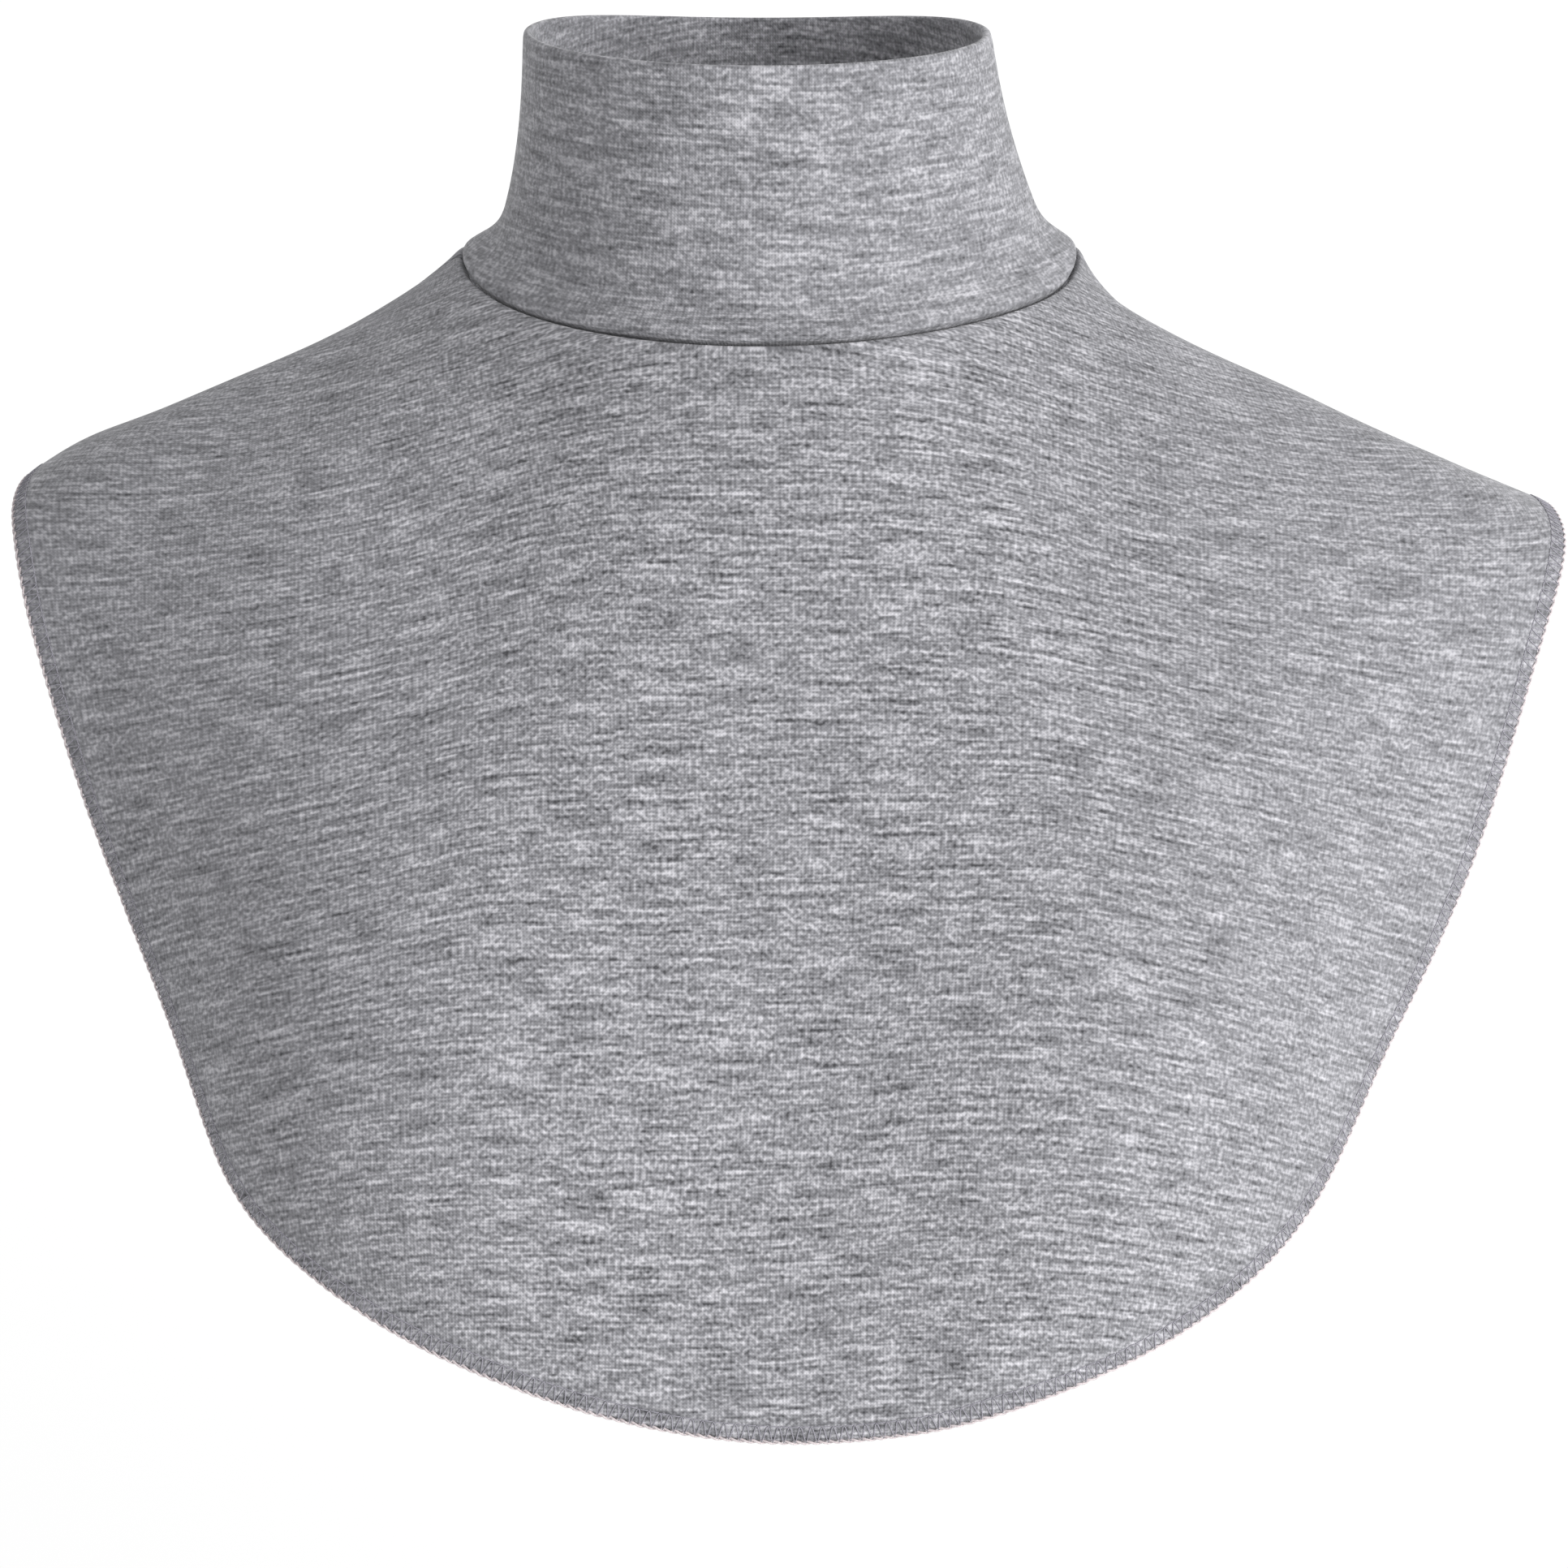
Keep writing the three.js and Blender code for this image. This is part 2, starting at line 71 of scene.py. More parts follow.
# The slope of the knit's rows as the panel is seen from the front: places in millimetres, degrees of climb
# towards the wearer's left.
FRONT_ROWS = [
    {"across": -96, "up": -50, "climb": 22},
    {"across": -150, "up": -72, "climb": 6},
    {"across": -192, "up": -90, "climb": 4},
    {"across": -150, "up": -150, "climb": 15},
    {"across": -146, "up": -202, "climb": 19},
    {"across": -108, "up": -262, "climb": 8},
    {"across": -82, "up": -262, "climb": -3},
    {"across": -56, "up": -262, "climb": -8},
    {"across": -29, "up": -262, "climb": -4},
    {"across": -56, "up": -306, "climb": -10},
    {"across": 0, "up": -60, "climb": 0},
    {"across": 0, "up": -110, "climb": 0},
    {"across": 0, "up": -160, "climb": 0},
    {"across": 0, "up": -210, "climb": 0},
    {"across": -3, "up": -262, "climb": 3},
    {"across": -3, "up": -306, "climb": 3},
    {"across": 24, "up": -306, "climb": 8},
    {"across": 63, "up": -306, "climb": 6},
    {"across": 50, "up": -262, "climb": 4},
    {"across": 77, "up": -262, "climb": -2},
    {"across": 103, "up": -262, "climb": -8},
    {"across": 129, "up": -262, "climb": -21},
    {"across": 146, "up": -202, "climb": -20},
    {"across": 150, "up": -150, "climb": -15},
    {"across": 90, "up": -50, "climb": -20},
    {"across": 150, "up": -72, "climb": -8},
    {"across": 192, "up": -90, "climb": -5},
]
# The same for the back panel, as it is seen from the front through the wearer.
BACK_ROWS = [
    {"across": -96, "up": -30, "climb": 12},
    {"across": -150, "up": -72, "climb": 8},
    {"across": -150, "up": -150, "climb": 10},
    {"across": -110, "up": -230, "climb": 8},
    {"across": -50, "up": -120, "climb": 3},
    {"across": 0, "up": -60, "climb": 0},
    {"across": 0, "up": -160, "climb": 0},
    {"across": 0, "up": -260, "climb": 0},
    {"across": 50, "up": -120, "climb": -3},
    {"across": 110, "up": -230, "climb": -8},
    {"across": 150, "up": -150, "climb": -10},
    {"across": 150, "up": -72, "climb": -8},
    {"across": 96, "up": -30, "climb": -12},
]
ROW_BLEND = 30  # millimetres over which one slope passes into the next

# Where the worn cloth lies off its even shape: in millimetres, how far it is shifted to the wearer's left and
# upward at a place along its outline, and over what reach the shift dies away.
WORN_EDGE = [
    {"across": -66, "up": 40, "reach": 24, "left": 0.4, "rise": 0.3},
    {"across": 62, "up": 40, "reach": 24, "left": -0.8, "rise": -0.1},
    {"across": 66, "up": 8, "reach": 20, "left": 0.3, "rise": -0.3},
    {"across": -92, "up": -4, "reach": 12, "left": -1.2, "rise": 1.0},
    {"across": -130, "up": -35, "reach": 24, "left": 0.2, "rise": -0.5},
    {"across": 86, "up": -4, "reach": 12, "left": -1.3, "rise": -1.5},
    {"across": 112, "up": -28, "reach": 20, "left": -1.4, "rise": -2.6},
    {"across": 155, "up": -45, "reach": 24, "left": -1.3, "rise": -3.1},
    {"across": -206, "up": -72, "reach": 16, "left": 1.3, "rise": 0.9},
    {"across": 213, "up": -78, "reach": 16, "left": 1.1, "rise": -1.5},
    {"across": 186, "up": -180, "reach": 24, "left": 1.6, "rise": -0.5},
    {"across": 160, "up": -225, "reach": 20, "left": -1.0, "rise": 0.4},
    {"across": 142, "up": -258, "reach": 18, "left": -0.3, "rise": -0.5},
    {"across": 100, "up": -290, "reach": 24, "left": 1.3, "rise": -1.8},
    {"across": 50, "up": -310, "reach": 24, "left": 0.3, "rise": -2.3},
    {"across": 0, "up": -318, "reach": 24, "left": -0.2, "rise": -1.2},
    {"across": -50, "up": -308, "reach": 24, "left": -0.1, "rise": -1.1},
    {"across": -98, "up": -285, "reach": 22, "left": -1.0, "rise": -1.2},
    {"across": -140, "up": -250, "reach": 20, "left": -2.1, "rise": -2.0},
    {"across": -190, "up": -130, "reach": 24, "left": 0.6, "rise": 0.1},
]
# How far it is set back in front of the shoulder seams, in millimetres, at these places across
WORN_ACROSS = (-184, -138, -92, -46, 0, 46, 92, 138, 184)
WORN_FRONT = [
    {"up": -58, "back": (-1.4, 5.0, 1.8, -3.1, -1.6, -3.1, 3.6, 4.2, -1.6)},
    {"up": -108, "back": (-1.6, 4.5, -0.1, -2.1, -0.6, -1.5, 1.8, 3.6, -2.6)},
    {"up": -158, "back": (0.5, 1.3, -0.4, -1.6, -1.4, -0.4, 0.4, 1.8, 0.1)},
    {"up": -208, "back": (0, -3.2, 0.3, 0.8, -2.0, 0.6, 1.2, 2.0, 0)},
    {"up": -258, "back": (0, -3.0, 0.4, 3.4, 0.7, 0.4, -1.3, 0.5, 0)},
    {"up": -308, "back": (0, -4.0, -3.0, 3.6, 0.5, -1.6, 0, 0, 0)},
]
WORN_REACH = 33  # millimetres round each of those places
WORN_START = 30  # millimetres in front of the shoulder seams, where that has come in fully

# How far the knit is stretched: most over the breast, less towards the armholes; on top of the shoulders the
# marl is also drawn fainter as painted sheen
TAUT, TAUT_WITHIN = 1.05, 50 * MM
SLACK, SLACK_BEYOND = 0.8, 150 * MM
# Painted sheen: within this reach of the shoulder seams the marl is drawn fainter, down to this share, as
# grazing light would wash it out
PAINTED_SHEEN_FADE, PAINTED_SHEEN_REACH = 0.6, 22 * MM

# On top of the shoulders the cloth turns from the front, so the slopes seen from there are held in
LEAST_FACING = 0.3
LEAST_FORWARD = 0.15
LAYING_ROUNDS = 500  # of the search for the flat cloth, which comes to rest well before

# The marl: fibres of three sizes, in millimetres along the rows and across them, and how much each shows
MARL = [
    {"long": 20, "tall": 1.45, "detail": 1, "from": (3, 0, 7), "share": 1.0},
    {"long": 6, "tall": 1.2, "detail": 1, "from": (11, 0, 2), "share": 0.85},
    {"long": 1.1, "tall": 1.0, "detail": 0, "from": (5, 0, 13), "share": 0.95},
]
DARK_FIBRE, MEAN_FIBRE, LIGHT_FIBRE = "3f3f42", "7e7e82", "bbbabf"
WALE_WIDTH = 0.9 * MM  # slightly coarser than the real knit's, so that the loops show
ROW_HEIGHT = 0.8 * MM
LOOP_PAINTED_SHADE = 0.03  # painted shade of the loops' relief in the colour: darker between them, lighter on them
LOOP_RELIEF = 0.25  # how much the loops show in the relief, beside the marl
RELIEF_DEPTH = 0.2 * MM


def cloth_copy(node, name):
    """A closed cloth wall shaped like a node's: doubles merged, triangles paired, then subdivided twice."""
    bm = bmesh.new()
    bm.from_mesh(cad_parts[node].data)
    bmesh.ops.remove_doubles(bm, verts=bm.verts, dist=DOUBLES)
    bmesh.ops.join_triangles(
        bm, faces=bm.faces, angle_face_threshold=FACE_BEND, angle_shape_threshold=FACE_SKEW
    )
    mesh = bpy.data.meshes.new(name)
    bm.to_mesh(mesh)
    bm.free()
    piece = bpy.data.objects.new(name, mesh)
    bpy.context.scene.collection.objects.link(piece)
    smoothing = piece.modifiers.new("Subdivision", "SUBSURF")
    smoothing.levels = smoothing.render_levels = 2
    smooth = piece.evaluated_get(bpy.context.evaluated_depsgraph_get())
    piece.data = bpy.data.meshes.new_from_object(smooth)
    piece.modifiers.clear()
    piece.data.name = name
    piece.data.shade_smooth()
    return piece


def points_of(piece):
    """The places and the normals of a piece's vertices, as two arrays."""
    mesh = piece.data
    places = np.empty(len(mesh.vertices) * 3, np.float32)
    normals = np.empty(len(mesh.vertices) * 3, np.float32)
    mesh.vertices.foreach_get("co", places)
    mesh.vertices.foreach_get("normal", normals)
    return places.reshape(-1, 3).astype(float), normals.reshape(-1, 3).astype(float)


def place_points(piece, places):
    """Moves a piece's vertices to those places."""
    piece.data.vertices.foreach_set("co", places.astype(np.float32).ravel())
    piece.data.update()


def worn(places):
    """The places, moved to where the cloth lies as it is worn."""
    moved = places.copy()
    seen = places[:, [0, 2]] / MM
    for row in WORN_EDGE:
        away = ((seen - [row["across"], row["up"]]) ** 2).sum(1)
        near = np.exp(-away / (2 * row["reach"] ** 2))
        moved[:, 0] += near * row["left"] * MM
        moved[:, 2] += near * row["rise"] * MM
    in_front = np.clip(-places[:, 1] / (WORN_START * MM), 0, 1)
    for row in WORN_FRONT:
        for across, back in zip(WORN_ACROSS, row["back"]):
            away = ((seen - [across, row["up"]]) ** 2).sum(1)
            moved[:, 1] += in_front * np.exp(-away / (2 * WORN_REACH**2)) * back * MM
    return moved


def climb_at(rows, places):
    """The slope of the knit's rows at each place, in radians, from the rows of a table round it."""
    spots = np.array([[row["across"], row["up"]] for row in rows]) * MM
    climbs = np.radians([row["climb"] for row in rows])
    away = ((places[:, None, [0, 2]] - spots[None]) ** 2).sum(2)
    weight = np.exp(-away / (2 * (ROW_BLEND * MM) ** 2)) + 1e-9
    return (weight * climbs).sum(1) / weight.sum(1)


def rows_and_wales(places, normals, rows):
    """Unit vectors that run along the knit's rows and up its wales, within the cloth."""
    backward = np.sign(-normals[:, 1]) * normals[:, 0]
    level = np.stack([np.abs(normals[:, 1]), backward, np.zeros(len(normals))], 1)
    level += 1e-6
    level /= np.linalg.norm(level, axis=1)[:, None]
    upward = np.cross(normals, level)
    upward *= np.sign(upward[:, 2:] + 1e-9)
    flat = np.hypot(normals[:, 0], normals[:, 1])
    facing = np.maximum(np.abs(normals[:, 1]), LEAST_FACING)
    slope = np.tan(climb_at(rows, places))
    forward = np.maximum(flat**2 + slope * normals[:, 0] * normals[:, 2], LEAST_FORWARD)
    turn = np.arctan2(slope * facing, forward)
    along = np.cos(turn)[:, None] * level + np.sin(turn)[:, None] * upward
    up = np.cos(turn)[:, None] * upward - np.sin(turn)[:, None] * level
    return along, up


def laid_flat(mesh, places, normals, field):
    """A value at each vertex whose gradient in the cloth is as near as may be to a field of vectors."""
    edges = np.empty(len(mesh.edges) * 2, np.int32)
    mesh.edges.foreach_get("vertices", edges)
    a, b = edges.reshape(-1, 2).T
    count = len(places)
    way = places[b] - places[a]
    # A normal leans along the cloth at the raw edge, so the end whose normal stands square to the way counts
    lean_a = np.abs((normals[a] * way).sum(1)) + 1e-9
    lean_b = np.abs((normals[b] * way).sum(1)) + 1e-9
    share = (lean_b / (lean_a + lean_b))[:, None]
    step = ((share * field[a] + (1 - share) * field[b]) * way).sum(1)
    degree = np.bincount(a, None, count) + np.bincount(b, None, count)

    def gathered(steps):
        """What the steps along the edges come to at each vertex."""
        return np.bincount(b, steps, count) - np.bincount(a, steps, count)

    value = places @ field.mean(0)
    residual = gathered(step) - gathered(value[b] - value[a])
    ready = residual / degree
    search = ready
    size = residual @ ready
    for _ in range(LAYING_ROUNDS):
        change = gathered(search[b] - search[a])
        length = size / (search @ change)
        value = value + length * search
        residual = residual - length * change
        ready = residual / degree
        newer = residual @ ready
        search = ready + newer / size * search
        size = newer
    return value


def set_knit(piece, coordinates, stretch_and_sheen):
    """Stores where each point lies in the flat knit, in metres, and how far the knit is stretched there, with
    painted sheen where the marl is drawn fainter.
    """
    attribute = piece.data.attributes.new("knit", "FLOAT_VECTOR", "POINT")
    attribute.data.foreach_set("vector", coordinates.astype(np.float32).ravel())
    attribute = piece.data.attributes.new("stretch_and_sheen", "FLOAT", "POINT")
    attribute.data.foreach_set("value", stretch_and_sheen.astype(np.float32))


def linear(hex_text):
    """A linear colour with its alpha, from an sRGB hex value."""
    channels = [int(hex_text[i : i + 2], 16) / 255 for i in (0, 2, 4)]
    return [c / 12.92 if c <= 0.04045 else ((c + 0.055) / 1.055) ** 2.4 for c in channels] + [1]


def add_node(tree, kind, inputs=None, **settings):
    """Adds a node with its settings; each input is a value or a socket to link."""
    new = tree.nodes.new(kind)
    for name, value in settings.items():
        setattr(new, name, value)
    for socket, value in (inputs or {}).items():
        if isinstance(value, bpy.types.NodeSocket):
            tree.links.new(value, new.inputs[socket])
        else:
            new.inputs[socket].default_value = value
    return new


def marled_jersey():
    """Marled viscose single jersey: soft, matt, with light and dark fibres drawn out along its rows, painted
    shade between its loops and painted sheen on top of the shoulders.
    """
    material = bpy.data.materials.new("marled_viscose_jersey")
    material.use_nodes = True
    tree = material.node_tree
    tree.nodes.clear()
    knit = add_node(tree, "ShaderNodeAttribute", attribute_name="knit").outputs["Vector"]

    total = 0.0
    for fibre in MARL:
        across, up = 1 / (fibre["long"] * MM), 1 / (fibre["tall"] * MM)
        sized = add_node(
            tree,
            "ShaderNodeMapping",
            {"Vector": knit, "Scale": (across, across, up), "Location": fibre["from"]},
        )
        streaks = add_node(
            tree,
            "ShaderNodeTexNoise",
            {"Vector": sized.outputs[0], "Scale": 1, "Detail": fibre["detail"], "Roughness": 0.5},
        )
        centred = add_node(tree, "ShaderNodeMath", {0: streaks.outputs[0], 1: 0.5}, operation="SUBTRACT")
        total = add_node(
            tree,
            "ShaderNodeMath",
            {0: centred.outputs[0], 1: fibre["share"], 2: total},
            operation="MULTIPLY_ADD",
        ).outputs[0]
    # Where the cloth is stretched its loops open and the light and dark fibres show more; where sheen is
    # painted, on top of the shoulders, they show less
    stretch_and_sheen = add_node(tree, "ShaderNodeAttribute", attribute_name="stretch_and_sheen").outputs["Fac"]
    total = add_node(tree, "ShaderNodeMath", {0: total, 1: stretch_and_sheen}, operation="MULTIPLY").outputs[0]
    shade = add_node(
        tree, "ShaderNodeMapRange", {"Value": total, "From Min": -0.5, "From Max": 0.5}
    ).outputs[0]

    # The loops of the knit: each stitch is a shallow V between two wales
    parted = add_node(tree, "ShaderNodeSeparateXYZ", {"Vector": knit})
    wale = add_node(
        tree, "ShaderNodeMath", {0: parted.outputs["X"], 1: 1 / WALE_WIDTH}, operation="MULTIPLY"
    )
    within = add_node(tree, "ShaderNodeMath", {0: wale.outputs[0], 1: 0.5}, operation="PINGPONG")
    row = add_node(
        tree, "ShaderNodeMath", {0: parted.outputs["Z"], 1: 1 / ROW_HEIGHT}, operation="MULTIPLY"
    )
    slant = add_node(tree, "ShaderNodeMath", {0: row.outputs[0], 1: within.outputs[0]}, operation="ADD")
    turn = add_node(tree, "ShaderNodeMath", {0: slant.outputs[0], 1: 2 * math.pi}, operation="MULTIPLY")
    loop = add_node(tree, "ShaderNodeMath", {0: turn.outputs[0]}, operation="SINE")
    turn = add_node(tree, "ShaderNodeMath", {0: wale.outputs[0], 1: 2 * math.pi}, operation="MULTIPLY")
    column = add_node(tree, "ShaderNodeMath", {0: turn.outputs[0]}, operation="COSINE")
    stitches = add_node(tree, "ShaderNodeMath", {0: loop.outputs[0], 1: column.outputs[0]}, operation="ADD")
    # Painted shade: the loops' relief is also laid into the colour, darker in the hollows between them and
    # lighter on their crowns
    stitched = add_node(
        tree, "ShaderNodeMath", {0: stitches.outputs[0], 1: LOOP_PAINTED_SHADE, 2: shade}, operation="MULTIPLY_ADD"
    )
    yarn = add_node(tree, "ShaderNodeValToRGB", {"Fac": stitched.outputs[0]})
    ramp = yarn.color_ramp.elements
    ramp[0].color = linear(DARK_FIBRE)
    ramp[1].color = linear(LIGHT_FIBRE)
    ramp.new(0.5).color = linear(MEAN_FIBRE)
    relief = add_node(
        tree, "ShaderNodeMath", {0: stitches.outputs[0], 1: LOOP_RELIEF, 2: shade}, operation="MULTIPLY_ADD"
    )
    bump = add_node(
        tree, "ShaderNodeBump", {"Height": relief.outputs[0], "Strength": 0.5, "Distance": RELIEF_DEPTH}
    )
    cloth = add_node(
        tree,
        "ShaderNodeBsdfPrincipled",
        {
            "Base Color": yarn.outputs["Color"],
            "Roughness": 0.9,
            "Specular IOR Level": 0.25,
            "Sheen Weight": 0.2,
            "Sheen Roughness": 0.4,
            "Normal": bump.outputs[0],
        },
    )
    add_node(tree, "ShaderNodeOutputMaterial", {"Surface": cloth.outputs[0]})
    return material


jersey = marled_jersey()


def panel(node, name, rows):
    """One panel of the bib, its shoulder seams drawn in and its knit laid out over the body."""
    piece = cloth_copy(node, name)
    places, normals = points_of(piece)
    near_seam = np.clip(1 - np.abs(places[:, 1]) / SEAM_REACH, 0, 1)
    from_collar = np.array([plain_collar.find_nearest(Vector(place))[3] for place in places])
    near_collar = np.clip(1 - from_collar / NECK_GROOVE_REACH, 0, 1)
    places[:, 2] -= SEAM_GROOVE * near_seam**2 + NECK_GROOVE * near_collar
    draw = np.interp(
        np.abs(places[:, 0]) / MM, [row["across"] for row in SEAM_DRAW], [row["draw"] for row in SEAM_DRAW]
    )
    side = np.sign(places[:, 1])
    places[:, 1] = side * np.maximum(np.abs(places[:, 1]) - draw * MM * near_seam, -SEAM_OVERLAP)
    place_points(piece, worn(places))
    places, normals = points_of(piece)
    along, up = rows_and_wales(places, normals, rows)
    across_cloth = laid_flat(piece.data, places, normals, along)
    up_cloth = laid_flat(piece.data, places, normals, up)
    stretch_and_sheen = np.interp(np.abs(places[:, 0]), (TAUT_WITHIN, SLACK_BEYOND), (TAUT, SLACK))
    # Painted sheen: the marl is drawn fainter on top of the shoulders
    stretch_and_sheen *= np.interp(np.abs(places[:, 1]), (0, PAINTED_SHEEN_REACH), (PAINTED_SHEEN_FADE, 1))
    set_knit(piece, np.stack([across_cloth, np.zeros(len(places)), up_cloth], 1), stretch_and_sheen)
    piece.data.materials.append(jersey)
    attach(piece, "root")
    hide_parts(node)
    return piece


def surface_of(*pieces):
    """A tree of the pieces' faces, to find what is nearest a point or in the way of a ray."""
    bm = bmesh.new()
    for piece in pieces:
        bm.from_mesh(piece.data)
    tree = BVHTree.FromBMesh(bm)
    bm.free()
    return tree


plain_collar = surface_of(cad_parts["collar"])
front = panel("front_panel", "front_panel_jersey", FRONT_ROWS)
back = panel("back_panel", "back_panel_jersey", BACK_ROWS)

# The collar
# One strip of the same jersey, sewn into a tube and folded double at its top edge, so that its rows run
# round the neck. Its two raw edges go into the neck seam, over which its foot rolls.

# The section of its foot: how far the cloth stands out, in millimetres, at a height above the neck seam.
# It bulges just above the seam and sinks in above the bulge.
FOOT_ROLL = [
    {"up": 0, "out": -0.5},
    {"up": 1.2, "out": 0.4},
    {"up": 2.8, "out": 0.9},
    {"up": 5, "out": 0.6},
    {"up": 9, "out": -0.8},
    {"up": 13, "out": -0.8},
    {"up": 20, "out": 0},
]

ROLL_AT_SIDES = 0.4  # the share of that roll that is left at the sides and the back of the neck
COLLAR_RADIUS = 68 * MM  # of the ring that the rows go round, as the cloth is laid flat
COLLAR_DIP = 21 * MM  # how far the rows sink from the sides to the front
COLLAR_STRETCH = 0.8
COLLAR_SLACK = 0.15  # how much less the knit is stretched at the sides of the neck

plain_bib = surface_of(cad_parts["front_panel"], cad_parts["back_panel"])


def collar():
    """The folded collar, its foot rolled over the neck seam and its knit laid round the neck."""
    piece = cloth_copy("collar", "collar_jersey")
    places, normals = points_of(piece)
    low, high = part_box("collar")
    centre = (low + high) / 2
    above_seam = np.array([plain_bib.find_nearest(Vector(place))[3] for place in places])
    roll = np.interp(
        above_seam, [row["up"] * MM for row in FOOT_ROLL], [row["out"] * MM for row in FOOT_ROLL]
    )
    outward = (places - np.array(centre)) * [1, 1, 0]
    outward /= np.linalg.norm(outward, axis=1)[:, None]
    roll *= np.clip(-outward[:, 1], ROLL_AT_SIDES, 1)
    places += roll[:, None] * outward
    place_points(piece, worn(places))
    places, normals = points_of(piece)
    angle = np.arctan2(places[:, 0] - centre[0], centre[1] - places[:, 1])
    # The height up the wall, measured along it from the slanting neckline
    level = np.stack([-normals[:, 1], normals[:, 0], np.zeros(len(normals))], 1)
    level /= np.linalg.norm(level, axis=1)[:, None] + 1e-9
    upward = np.cross(level, normals)
    upward *= np.sign(upward[:, 2:] + 1e-9)
    height = laid_flat(piece.data, places, normals, upward)
    # The rows follow the ring of the neck, which dips at the front
    height = height + COLLAR_DIP * np.cos(angle)
    knit = np.stack([COLLAR_RADIUS * np.sin(angle), COLLAR_RADIUS * np.cos(angle), height], 1)
    set_knit(piece, knit, COLLAR_STRETCH - COLLAR_SLACK * np.abs(np.sin(angle)))
    piece.data.materials.append(jersey)
    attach(piece, "root")
    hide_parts("collar")


collar()

# The overlocked edge
# Polyester thread worked over the raw edge in one pass: a needle thread in a line of short stitches, two
# looper threads that zigzag between it and the edge on either face, and the rope where they lock.

STITCH = 2.9 * MM
NEEDLE_LINE = 4 * MM  # in from the raw edge
THREAD = 0.3 * MM
ROPE_STRAND = 0.62 * MM
ROPE_RADIUS = 0.36 * MM
ROPE_OUT = 0.12 * MM  # the rope's middle, out from the raw edge
LOOPER_OUT = 0.2 * MM  # how far the loopers pass over the raw edge
LIFT = 0.4 * THREAD  # of a thread's middle off the cloth, since it beds into the knit
STEPS = 8  # points in a stitch
CURVE_STEP = 0.05  # the share of the way from one ring of the CAD cord to the next
RING_EDGE = 3 * MM  # longer than the sides of the CAD cord's rings, and shorter than the way between them
SMOOTH_SPAN = 25  # points over which the edge's wander is evened out
PROBE = 5 * MM  # off the cloth, where the way to it starts
BODY_MIDDLE = np.array([0, 0, -0.2])  # outward is away from here
PALE_THREAD = ("a0979a", "c9bfc0")  # the dark and the light of its crimped filaments
GREY_THREAD = ("79777f", "8d8b94")
CRIMP = 0.5 * MM
CRIMP_DEPTH = 0.1 * MM


def edge_path():
    """The line of the edge, in order from the centre front and evenly spaced, a whole number of stitches."""
    bm = bmesh.new()
    bm.from_mesh(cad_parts["overlock_edging"].data)
    bmesh.ops.remove_doubles(bm, verts=bm.verts, dist=DOUBLES)
    # The CAD cord is a row of small rings; its line runs through their middles
    bm.verts.index_update()
    rings = []
    seen = set()
    for start in bm.verts:
        if start.index in seen:
            continue
        seen.add(start.index)
        ring = [start]
        for vert in ring:
            for edge in vert.link_edges:
                other = edge.other_vert(vert)
                if other.index not in seen and edge.calc_length() < RING_EDGE:
                    seen.add(other.index)
                    ring.append(other)
        rings.append(np.mean([vert.co for vert in ring], 0))
    bm.free()
    rings = list(worn(np.array(rings)))
    line = [min(rings, key=lambda point: point[2] + point[1])]
    while len(line) < len(rings):
        rest = [point for point in rings if not any(point is other for other in line)]
        if len(line) == 1:
            rest = [point for point in rest if point[0] > line[0][0]]
        line.append(min(rest, key=lambda point: np.linalg.norm(point - line[-1])))
    line = np.array(line)
    share = np.arange(0, 1, CURVE_STEP)[:, None]
    curve = []
    for a, b, c, d in zip(np.roll(line, 1, 0), line, np.roll(line, -1, 0), np.roll(line, -2, 0)):
        curve.append(
            b
            + (c - a) / 2 * share
            + (2 * a - 5 * b + 4 * c - d) / 2 * share**2
            + (3 * b - a - 3 * c + d) / 2 * share**3
        )
    curve = np.concatenate(curve)
    closed = np.r_[curve, curve[:1]]
    length = np.r_[0, np.cumsum(np.linalg.norm(np.diff(closed, axis=0), axis=1))]
    stitches = 2 * round(length[-1] / STITCH / 2)
    at = np.linspace(0, length[-1], stitches * STEPS, endpoint=False)
    return np.stack([np.interp(at, length, closed[:, k]) for k in range(3)], 1), stitches


def edge_frames(cloth):
    """At each place on that line: the raw edge beside it, and the ways along it, inward and outward."""
    path, stitches = edge_path()
    along = np.roll(path, -1, 0) - np.roll(path, 1, 0)
    along /= np.linalg.norm(along, axis=1)[:, None]
    edge = np.array([cloth.find_nearest(Vector(point))[0] for point in path])
    inward = edge - path
    inward -= (inward * along).sum(1)[:, None] * along
    inward /= np.linalg.norm(inward, axis=1)[:, None]
    smoothing = np.ones(SMOOTH_SPAN) / SMOOTH_SPAN
    pad = SMOOTH_SPAN // 2
    for values in (edge, inward):
        for k in range(3):
            wrapped = np.r_[values[-pad:, k], values[:, k], values[:pad, k]]
            values[:, k] = np.convolve(wrapped, smoothing, "valid")
    inward /= np.linalg.norm(inward, axis=1)[:, None]
    outward = np.cross(along, inward)
    outward *= np.sign((outward * (path - BODY_MIDDLE)).sum(1))[:, None]
    return edge, inward, outward, stitches


def on_cloth(cloth, edge, inward, outward, distance, side):
    """Points that far in from the raw edge, on the cloth's face for side 1 or its back for side -1."""
    points = []
    for place, way_in, way_out, reach in zip(edge, inward, outward, distance):
        start = place + way_in * reach + way_out * side * PROBE
        hit, normal = cloth.ray_cast(Vector(start), Vector(-way_out * side), 2 * PROBE)[:2]
        if hit is None:
            points.append(start - way_out * side * (PROBE - THREAD))
        else:
            points.append(np.array(hit + normal * LIFT))
    return np.array(points)


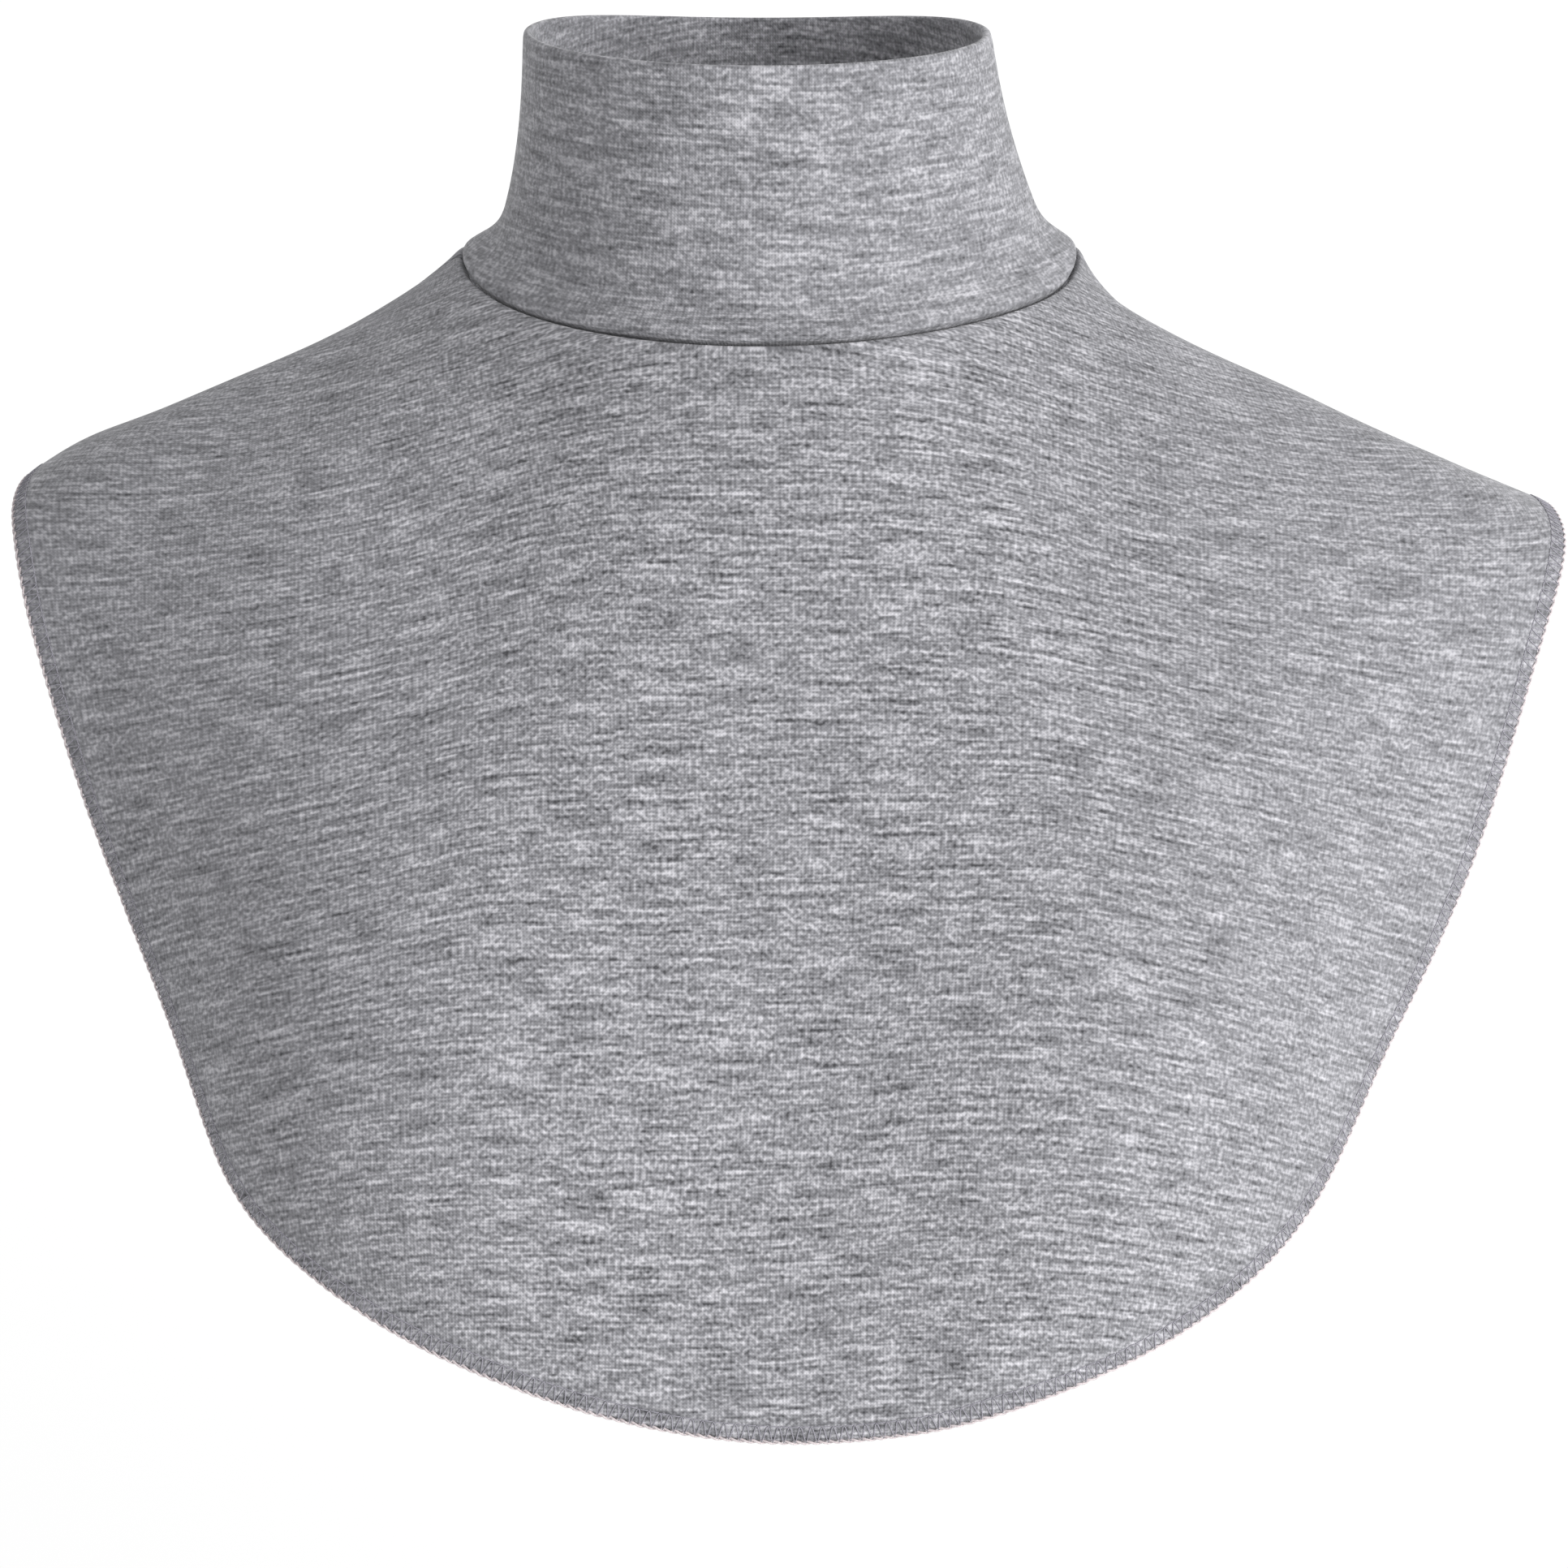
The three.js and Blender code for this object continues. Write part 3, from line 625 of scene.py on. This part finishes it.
def threads(name, strands, material):
    """One piece of closed strands: each a line of points and a radius."""
    bm = bmesh.new()
    for points, radius in strands:
        curve = bpy.data.curves.new(name, "CURVE")
        curve.dimensions = "3D"
        curve.bevel_depth = radius
        curve.bevel_resolution = 1
        spline = curve.splines.new("POLY")
        spline.points.add(len(points) - 1)
        spline.points.foreach_set("co", np.c_[points, np.ones(len(points))].ravel())
        spline.use_cyclic_u = True
        strand = bpy.data.objects.new(name, curve)
        mesh = bpy.data.meshes.new_from_object(strand)
        bm.from_mesh(mesh)
        bpy.data.objects.remove(strand)
        bpy.data.meshes.remove(mesh)
        bpy.data.curves.remove(curve)
    mesh = bpy.data.meshes.new(name)
    bm.to_mesh(mesh)
    bm.free()
    mesh.shade_smooth()
    mesh.materials.append(material)
    piece = bpy.data.objects.new(name, mesh)
    bpy.context.scene.collection.objects.link(piece)
    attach(piece, "root")
    return piece


def overlock_thread(name, dark, light):
    """Textured polyester thread: soft, slightly lustrous, its filaments crimped so that it looks cloudy."""
    material = bpy.data.materials.new(name)
    material.use_nodes = True
    tree = material.node_tree
    tree.nodes.clear()
    place = add_node(tree, "ShaderNodeTexCoord").outputs["Object"]
    crimp = add_node(tree, "ShaderNodeTexNoise", {"Vector": place, "Scale": 1 / CRIMP, "Detail": 2})
    tint = add_node(tree, "ShaderNodeValToRGB", {"Fac": crimp.outputs[0]})
    tint.color_ramp.elements[0].position = 0.3
    tint.color_ramp.elements[0].color = linear(dark)
    tint.color_ramp.elements[1].position = 0.7
    tint.color_ramp.elements[1].color = linear(light)
    bump = add_node(
        tree, "ShaderNodeBump", {"Height": crimp.outputs[0], "Strength": 0.4, "Distance": CRIMP_DEPTH}
    )
    thread = add_node(
        tree,
        "ShaderNodeBsdfPrincipled",
        {
            "Base Color": tint.outputs["Color"],
            "Roughness": 0.6,
            "Specular IOR Level": 0.4,
            "Sheen Weight": 0.2,
            "Normal": bump.outputs[0],
        },
    )
    add_node(tree, "ShaderNodeOutputMaterial", {"Surface": thread.outputs[0]})
    return material


def overlock():
    """The rope, the two looper threads and the needle thread round the whole edge."""
    cloth = surface_of(front, back)
    edge, inward, outward, stitches = edge_frames(cloth)
    count = len(edge)
    turn = 2 * math.pi * np.arange(count) / STEPS / 2
    strands = []
    for start in (0, math.pi):
        ring = np.cos(turn + start)[:, None] * inward + np.sin(turn + start)[:, None] * outward
        strands.append((edge - inward * ROPE_OUT + ROPE_RADIUS * ring, ROPE_STRAND / 2))
    pale = overlock_thread("pale_polyester_thread", *PALE_THREAD)
    grey = overlock_thread("grey_polyester_thread", *GREY_THREAD)
    rope = threads("overlock_rope", strands, pale)
    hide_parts("overlock_edging")

    # The loopers swing in from the rope to the needle line and out again once in each stitch
    phase = 2 * math.pi * np.arange(count) / STEPS
    swing = (1 - np.cos(phase)) / 2
    distance = swing**0.8 * (NEEDLE_LINE + LOOPER_OUT) - LOOPER_OUT
    strands = []
    for side in (1, -1):
        points = on_cloth(cloth, edge, inward, outward, distance, side)
        strands.append((points, THREAD / 2))
    threads("overlock_loopers", strands, grey)

    # The needle thread: a stitch on the face that dips between one hole and the next
    points = on_cloth(cloth, edge, inward, outward, np.full(count, NEEDLE_LINE), 1)
    points -= outward * (np.clip(-np.cos(phase), 0, 1) * THREAD)[:, None]
    threads("overlock_needle_thread", [(points, THREAD / 2)], grey)


overlock()

# The studio
# A pale floor in soft light from all round, with one key light from the right of the camera and a weak
# fill from its left.

FLOOR = -1.3  # its height
FLOOR_RADIUS = 2.3
FADE_RADIUS = 0.9  # where the floor starts to fade
GLOW = 0.83  # the light from all sides on average, and how much more of it comes from three of them
GLOW_LEFT = 0.18
GLOW_BACK = 0.2
GLOW_UP = 0.2
LIT_MIDDLE = Vector((0, 0, -0.12))


def floor():
    """A round pale floor whose edge fades into the light round it."""
    bm = bmesh.new()
    bmesh.ops.create_circle(bm, cap_ends=True, segments=64, radius=FLOOR_RADIUS)
    bmesh.ops.translate(bm, verts=bm.verts, vec=(0, 0, FLOOR))
    mesh = bpy.data.meshes.new("studio_floor")
    bm.to_mesh(mesh)
    bm.free()
    disc = bpy.data.objects.new("studio_floor", mesh)
    bpy.context.scene.collection.objects.link(disc)
    paint = bpy.data.materials.new("matt_white_paint")
    paint.use_nodes = True
    tree = paint.node_tree
    shader = tree.nodes["Principled BSDF"]
    shader.inputs["Base Color"].default_value = linear("f6f6f5")
    shader.inputs["Roughness"].default_value = 0.9
    place = add_node(tree, "ShaderNodeTexCoord").outputs["Object"]
    level = add_node(tree, "ShaderNodeVectorMath", {0: place, 1: (1, 1, 0)}, operation="MULTIPLY")
    radius = add_node(tree, "ShaderNodeVectorMath", {0: level.outputs[0]}, operation="LENGTH")
    fade = add_node(
        tree,
        "ShaderNodeMapRange",
        {
            "Value": radius.outputs["Value"],
            "From Min": FADE_RADIUS,
            "From Max": FLOOR_RADIUS,
            "To Min": 1,
            "To Max": 0,
        },
        interpolation_type="SMOOTHSTEP",
    )
    tree.links.new(fade.outputs[0], shader.inputs["Alpha"])
    mesh.materials.append(paint)


def studio_light():
    """Soft light from all round, brighter from behind the dickey, from its left and from above."""
    world = bpy.data.worlds.new("studio")
    world.use_nodes = True
    tree = world.node_tree
    way = add_node(tree, "ShaderNodeTexCoord").outputs["Generated"]
    parted = add_node(tree, "ShaderNodeSeparateXYZ", {"Vector": way})
    glow = GLOW
    for axis, more in (("X", GLOW_LEFT), ("Y", GLOW_BACK), ("Z", GLOW_UP)):
        glow = add_node(
            tree, "ShaderNodeMath", {0: parted.outputs[axis], 1: more, 2: glow}, operation="MULTIPLY_ADD"
        ).outputs[0]
    tree.links.new(glow, tree.nodes["Background"].inputs["Strength"])
    tree.nodes["Background"].inputs["Color"].default_value = (1, 1, 1, 1)
    bpy.context.scene.world = world


def light(name, place, size, watts):
    """A round soft lamp that shines at the middle of the dickey."""
    lamp = bpy.data.lights.new(name, "AREA")
    lamp.shape = "DISK"
    lamp.size = size
    lamp.energy = watts
    holder = bpy.data.objects.new(name, lamp)
    holder.location = place
    holder.rotation_euler = (LIT_MIDDLE - Vector(place)).to_track_quat("-Z", "Y").to_euler()
    bpy.context.scene.collection.objects.link(holder)


floor()
studio_light()
light("key", (2.1, -1.75, -0.1), 1.2, 74)
light("fill", (-0.5, -2.1, -1.0), 1.4, 12)
bpy.context.scene.view_settings.view_transform = "Standard"

# The camera
# Level with the middle of the dickey and straight in front of it.

CAMERA_DISTANCE = 2.2
CAMERA_ACROSS = 0.00287
CAMERA_HEIGHT = -0.1446
FRAME_WIDTH = 0.426  # what it takes in, across the shoulders

camera_data = bpy.data.cameras.new("camera")
camera_data.lens = camera_data.sensor_width * CAMERA_DISTANCE / FRAME_WIDTH
camera = bpy.data.objects.new("camera", camera_data)
camera.location = (CAMERA_ACROSS, -CAMERA_DISTANCE, CAMERA_HEIGHT)
camera.rotation_euler = (math.radians(90), 0, 0)
bpy.context.scene.collection.objects.link(camera)
bpy.context.scene.camera = camera
